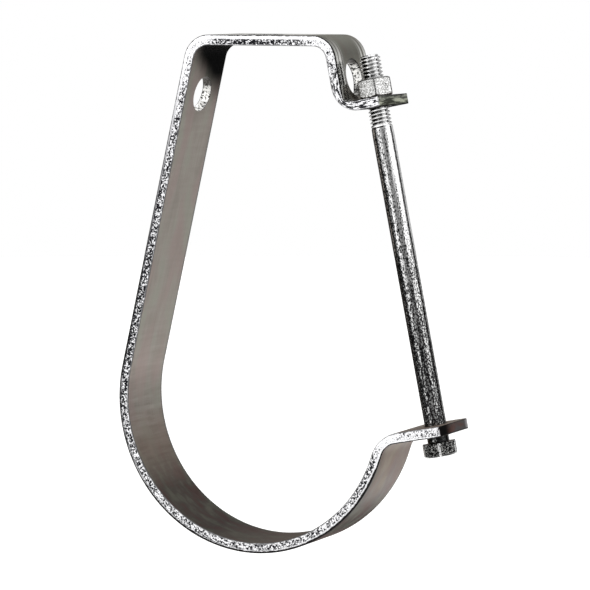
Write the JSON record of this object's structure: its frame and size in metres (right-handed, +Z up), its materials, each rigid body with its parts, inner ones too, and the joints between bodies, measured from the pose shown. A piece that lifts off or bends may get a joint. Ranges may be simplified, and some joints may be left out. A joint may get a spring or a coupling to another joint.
{
  "type": "pipe hanger",
  "caption": "Pear-shaped hanger bent from a flat steel strip, closed on its open side by a long bolt and nut, to hang a pipe from a threaded rod.",
  "frame": {"origin": "centre of the bowl that carries the pipe, in the middle of the strip's width", "axes": "+Y along the pipe, +Z up along the hanging rod, +X across the loop towards the bolt"},
  "size_m": [0.1585, 0.0318, 0.2284],
  "materials": {
    "strap_steel": "mill finish strip, sheared and punched edges, lightly oiled",
    "bolt_steel": "bright drawn shank, rolled thread, forged head",
    "nut_steel": "bright zinc"
  },
  "bodies": {
    "strap": {"hanger_strap": "strap_steel"},
    "bolt": {"clamp_bolt": "bolt_steel"},
    "nut": {"hex_nut": "nut_steel"}
  },
  "joints": [
    {"name": "nut_turn", "type": "hinge", "parent": "strap", "child": "nut", "pos_m": [0.05355, 0, 0.13566], "axis": [0.1977, 0, -0.9803], "range_deg": [-4086, 724]},
    {"name": "bolt_travel", "type": "slide", "parent": "strap", "child": "bolt", "axis": [-0.1977, 0, 0.9803], "range_m": [-0.018, 0.00318]}
  ],
  "couplings": [
    {"joint": "nut_turn", "follows": "bolt_travel", "rad_per_m": 3957.9}
  ]
}
